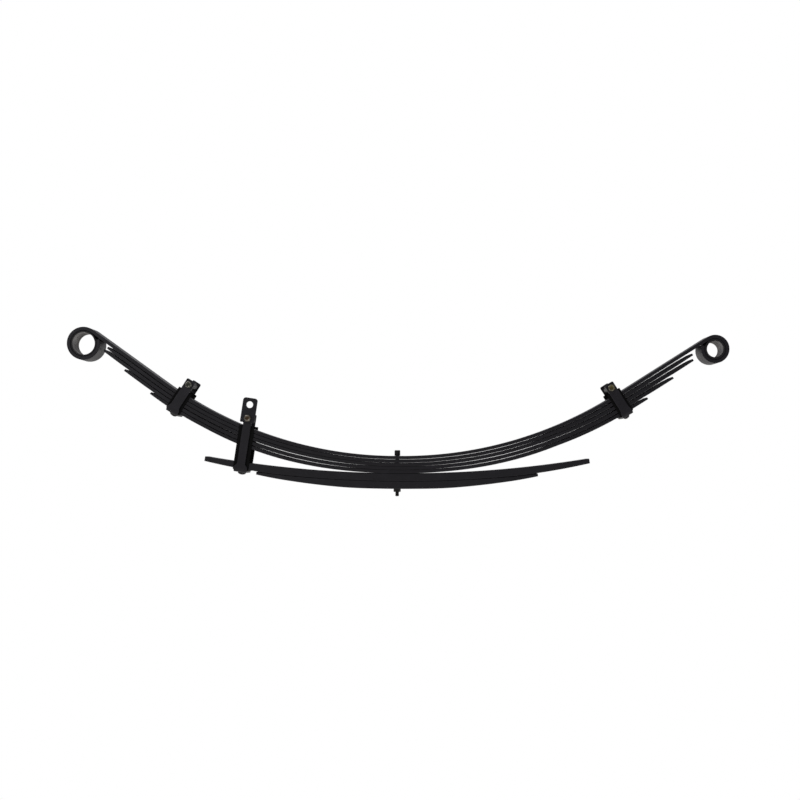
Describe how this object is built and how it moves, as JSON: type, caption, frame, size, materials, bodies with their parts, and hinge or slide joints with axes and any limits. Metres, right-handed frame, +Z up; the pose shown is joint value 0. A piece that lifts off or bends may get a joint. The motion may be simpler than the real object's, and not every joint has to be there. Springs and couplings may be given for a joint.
{
  "type": "leaf spring",
  "caption": "Semi-elliptic leaf spring: curved main leaves with rolled eyes over heavier overload leaves, held by a centre bolt and riveted clips.",
  "frame": {"origin": "on the centre bolt's axis, on the top face of the main leaf, where the axle pad sits", "axes": "+X along the leaves from the front eye to the rear eye, +Y across the leaves, +Z up, out of the main leaf's top face"},
  "size_m": [1.379, 0.0933, 0.3494],
  "materials": {
    "spring_paint": "satin",
    "clip_paint": "satin",
    "liner_rubber": "matte",
    "bush_steel": "turned",
    "zinc_plate": "yellow zinc plate",
    "dark_steel": "oiled black"
  },
  "bodies": {
    "centre_pack": {"main_leaf": "spring_paint", "second_leaf": "spring_paint", "third_leaf": "spring_paint", "fourth_leaf": "spring_paint", "fifth_leaf": "spring_paint", "upper_overload_leaf": "spring_paint", "lower_overload_leaf": "spring_paint", "centre_bolt": "dark_steel", "centre_nut": "dark_steel", "long_clip_strap": "clip_paint", "long_clip_liner": "liner_rubber", "long_clip_bolt": "zinc_plate", "long_clip_nut": "zinc_plate", "long_clip_rivet": "dark_steel", "cable_bracket": "clip_paint"},
    "front_arm": {"front_eye_bush": "bush_steel", "front_clip_strap": "clip_paint", "front_clip_liner": "liner_rubber", "front_clip_bolt": "zinc_plate", "front_clip_nut": "zinc_plate", "front_clip_rivet": "dark_steel"},
    "rear_arm": {"rear_eye_bush": "bush_steel", "rear_clip_strap": "clip_paint", "rear_clip_liner": "liner_rubber", "rear_clip_bolt": "zinc_plate", "rear_clip_nut": "zinc_plate", "rear_clip_rivet": "dark_steel"},
    "front_clip_roller": {"front_clip_tube": "dark_steel"},
    "rear_clip_roller": {"rear_clip_tube": "dark_steel"},
    "long_clip_roller": {"long_clip_tube": "dark_steel"}
  },
  "joints": [
    {"name": "front_arm_flex", "type": "hinge", "parent": "centre_pack", "child": "front_arm", "pos_m": [-0.18249, 0, 0.00042], "axis": [0, -1, 0], "range_deg": [0, 14], "stiffness_Nm_per_rad": 3300, "deforming": ["main_leaf", "second_leaf", "third_leaf", "fourth_leaf", "fifth_leaf"]},
    {"name": "rear_arm_flex", "type": "hinge", "parent": "centre_pack", "child": "rear_arm", "pos_m": [0.18248, 0, 0.00024], "axis": [0, 1, 0], "range_deg": [0, 14], "stiffness_Nm_per_rad": 3300, "deforming": ["main_leaf", "second_leaf", "third_leaf", "fourth_leaf", "fifth_leaf"]},
    {"name": "front_clip_tube_spin", "type": "hinge", "parent": "front_arm", "child": "front_clip_roller", "pos_m": [-0.43322, 0, 0.14524], "axis": [0, 1, 0], "continuous": true},
    {"name": "rear_clip_tube_spin", "type": "hinge", "parent": "rear_arm", "child": "rear_clip_roller", "pos_m": [0.44365, 0, 0.14396], "axis": [0, 1, 0], "continuous": true},
    {"name": "long_clip_tube_spin", "type": "hinge", "parent": "centre_pack", "child": "long_clip_roller", "pos_m": [-0.31014, 0, 0.07608], "axis": [0, 1, 0], "continuous": true}
  ]
}
